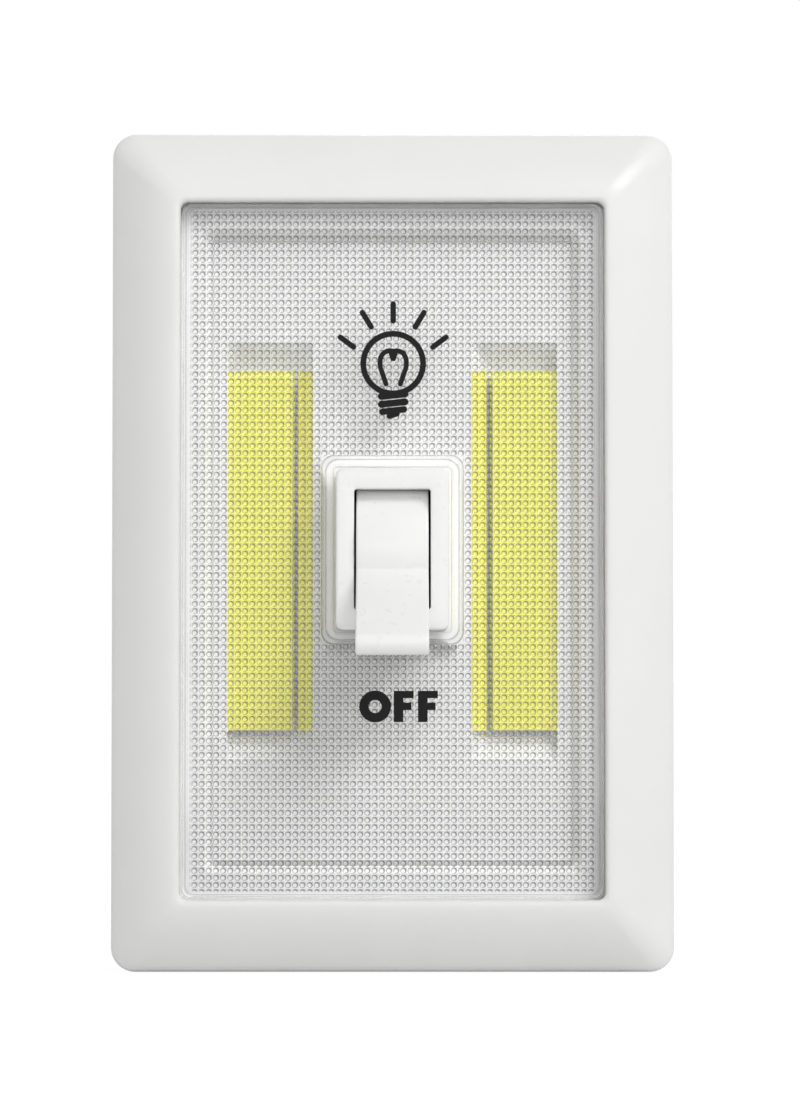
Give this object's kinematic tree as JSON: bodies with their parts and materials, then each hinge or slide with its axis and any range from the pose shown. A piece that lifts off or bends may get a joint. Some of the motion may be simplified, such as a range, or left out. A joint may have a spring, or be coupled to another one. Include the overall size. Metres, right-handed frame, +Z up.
{
  "type": "toggle switch light",
  "caption": "Battery light in the shape of a toggle wall switch: a sloping white frame, a dimpled clear lens over two light strips, and a lever that swings from off to on.",
  "frame": {"origin": "centre of the flat back face", "axes": "+Z up as it hangs, +X to the right as seen from the front, -Y out of the front towards the user"},
  "size_m": [0.077, 0.0407, 0.115],
  "materials": {
    "white_abs": "satin moulded white plastic",
    "clear_plastic": "clear moulded plastic with a dimpled back",
    "reflector_white": "soft white moulded plastic",
    "light_board": "white solder mask",
    "phosphor": "yellow silicone with phosphor",
    "switch_metal": "tinned sheet steel",
    "black_plastic": "moulded black",
    "circuit_green": "green solder mask",
    "cell_jacket": "plain printed jacket over steel",
    "nickelled_steel": "nickel plating",
    "screw_steel": "zinc plating",
    "red_wire": "soft vinyl insulation",
    "black_wire": "soft vinyl insulation"
  },
  "bodies": {
    "case": {"battery_cell_lower": "cell_jacket", "battery_cell_middle": "cell_jacket", "battery_cell_upper": "cell_jacket", "battery_lead_negative": "black_wire", "battery_lead_positive": "red_wire", "battery_spring_lower": "nickelled_steel", "battery_spring_middle": "nickelled_steel", "battery_spring_upper": "nickelled_steel", "board_screw_left": "screw_steel", "board_screw_right": "screw_steel", "circuit_board": "circuit_green", "cob_board_left": "light_board", "cob_board_right": "light_board", "cob_lead_left": "red_wire", "cob_lead_right": "red_wire", "cob_phosphor_left": "phosphor", "cob_phosphor_right": "phosphor", "contact_bridge_left": "nickelled_steel", "contact_bridge_right": "nickelled_steel", "contact_end_left": "nickelled_steel", "contact_end_right": "nickelled_steel", "front_frame": "white_abs", "housing_screw_lower_left": "screw_steel", "housing_screw_lower_right": "screw_steel", "housing_screw_upper_left": "screw_steel", "housing_screw_upper_right": "screw_steel", "lens": "clear_plastic", "magnet_left": "nickelled_steel", "magnet_right": "nickelled_steel", "rear_housing": "white_abs", "reflector_tray": "reflector_white", "resistor_left": "black_plastic", "resistor_right": "black_plastic", "slide_switch_base": "black_plastic", "slide_switch_can": "switch_metal", "switch_surround": "white_abs"},
    "lever": {"toggle_lever": "white_abs"},
    "switch_knob": {"slide_switch_knob": "white_abs"},
    "door": {"battery_door": "white_abs"}
  },
  "joints": [
    {"name": "toggle", "type": "hinge", "parent": "case", "child": "lever", "pos_m": [0, -0.0183, 0], "axis": [-1, 0, 0], "range_deg": [0, 64]},
    {"name": "switch_slide", "type": "slide", "parent": "case", "child": "switch_knob", "axis": [0, 0, -1], "range_m": [0, 0.00426]},
    {"name": "battery_door_hinge", "type": "hinge", "parent": "case", "child": "door", "pos_m": [0, -0.0013, -0.01555], "axis": [1, 0, 0], "range_deg": [0, 80]}
  ],
  "couplings": [
    {"joint": "switch_slide", "follows": "toggle", "m_per_rad": 0.003804}
  ]
}
